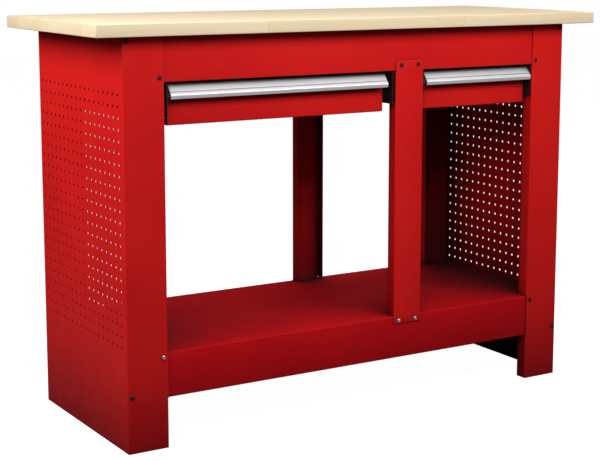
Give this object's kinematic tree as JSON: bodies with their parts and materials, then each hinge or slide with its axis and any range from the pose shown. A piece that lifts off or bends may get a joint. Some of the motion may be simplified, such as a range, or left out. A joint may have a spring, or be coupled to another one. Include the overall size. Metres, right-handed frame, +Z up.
{
  "type": "workbench with drawers",
  "caption": "Sheet-steel workbench with a wooden top, perforated side legs, an open bottom shelf and two drawers on telescopic slides under the front rail.",
  "frame": {"origin": "on the floor, under the middle of the worktop", "axes": "+X along the bench to the right, +Y from the front to the rear, +Z up; the drawers open along -Y"},
  "size_m": [1.3, 0.5, 0.9],
  "materials": {
    "red_powder_coat": "satin powder coat",
    "worktop_wood": "satin lacquer",
    "handle_aluminium": "satin anodised",
    "zinc_steel": "zinc plated",
    "black_steel": "black oxide"
  },
  "bodies": {
    "root": {"bottom_shelf": "red_powder_coat", "front_left_leg_bolt_lower_inner": "zinc_steel", "front_left_leg_bolt_lower_outer": "black_steel", "front_left_leg_bolt_upper_inner": "black_steel", "front_left_leg_bolt_upper_outer": "black_steel", "front_post": "red_powder_coat", "front_post_bolt_lower_left": "zinc_steel", "front_post_bolt_lower_right": "zinc_steel", "front_post_bolt_upper_left": "black_steel", "front_post_bolt_upper_right": "black_steel", "front_rail": "red_powder_coat", "front_right_leg_bolt_lower_inner": "black_steel", "front_right_leg_bolt_lower_outer": "black_steel", "front_right_leg_bolt_upper_inner": "black_steel", "front_right_leg_bolt_upper_outer": "black_steel", "front_worktop_screw_left": "zinc_steel", "front_worktop_screw_right": "zinc_steel", "left_bay_left_bracket": "black_steel", "left_bay_right_bracket": "black_steel", "left_drawer_left_slide_fixed": "zinc_steel", "left_drawer_right_slide_fixed": "zinc_steel", "left_leg": "red_powder_coat", "rear_left_leg_bolt_lower_inner": "zinc_steel", "rear_left_leg_bolt_lower_outer": "black_steel", "rear_left_leg_bolt_upper_inner": "black_steel", "rear_left_leg_bolt_upper_outer": "black_steel", "rear_post": "red_powder_coat", "rear_post_bolt_lower_left": "zinc_steel", "rear_post_bolt_lower_right": "zinc_steel", "rear_post_bolt_upper_left": "black_steel", "rear_post_bolt_upper_right": "black_steel", "rear_rail": "red_powder_coat", "rear_right_leg_bolt_lower_inner": "black_steel", "rear_right_leg_bolt_lower_outer": "black_steel", "rear_right_leg_bolt_upper_inner": "black_steel", "rear_right_leg_bolt_upper_outer": "black_steel", "rear_worktop_screw_left": "zinc_steel", "rear_worktop_screw_right": "zinc_steel", "right_bay_left_bracket": "black_steel", "right_bay_right_bracket": "black_steel", "right_drawer_left_slide_fixed": "zinc_steel", "right_drawer_right_slide_fixed": "zinc_steel", "right_leg": "red_powder_coat", "worktop": "worktop_wood"},
    "left_drawer": {"left_drawer_box": "red_powder_coat", "left_drawer_front": "red_powder_coat", "left_drawer_handle": "handle_aluminium", "left_drawer_left_slide_inner": "zinc_steel", "left_drawer_right_slide_inner": "zinc_steel"},
    "right_drawer": {"right_drawer_box": "red_powder_coat", "right_drawer_front": "red_powder_coat", "right_drawer_handle": "handle_aluminium", "right_drawer_left_slide_inner": "zinc_steel", "right_drawer_right_slide_inner": "zinc_steel"},
    "left_slide_middles": {"left_drawer_left_slide_middle": "zinc_steel", "left_drawer_right_slide_middle": "zinc_steel"},
    "right_slide_middles": {"right_drawer_left_slide_middle": "zinc_steel", "right_drawer_right_slide_middle": "zinc_steel"}
  },
  "joints": [
    {"name": "left_drawer_slide", "type": "slide", "parent": "root", "child": "left_drawer", "axis": [0, -1, 0], "range_m": [0, 0.3]},
    {"name": "left_middle_slide", "type": "slide", "parent": "root", "child": "left_slide_middles", "axis": [0, -1, 0], "range_m": [0, 0.15]},
    {"name": "right_drawer_slide", "type": "slide", "parent": "root", "child": "right_drawer", "axis": [0, -1, 0], "range_m": [0, 0.3]},
    {"name": "right_middle_slide", "type": "slide", "parent": "root", "child": "right_slide_middles", "axis": [0, -1, 0], "range_m": [0, 0.15]}
  ],
  "couplings": [
    {"joint": "left_middle_slide", "follows": "left_drawer_slide", "ratio": 0.5},
    {"joint": "right_middle_slide", "follows": "right_drawer_slide", "ratio": 0.5}
  ]
}
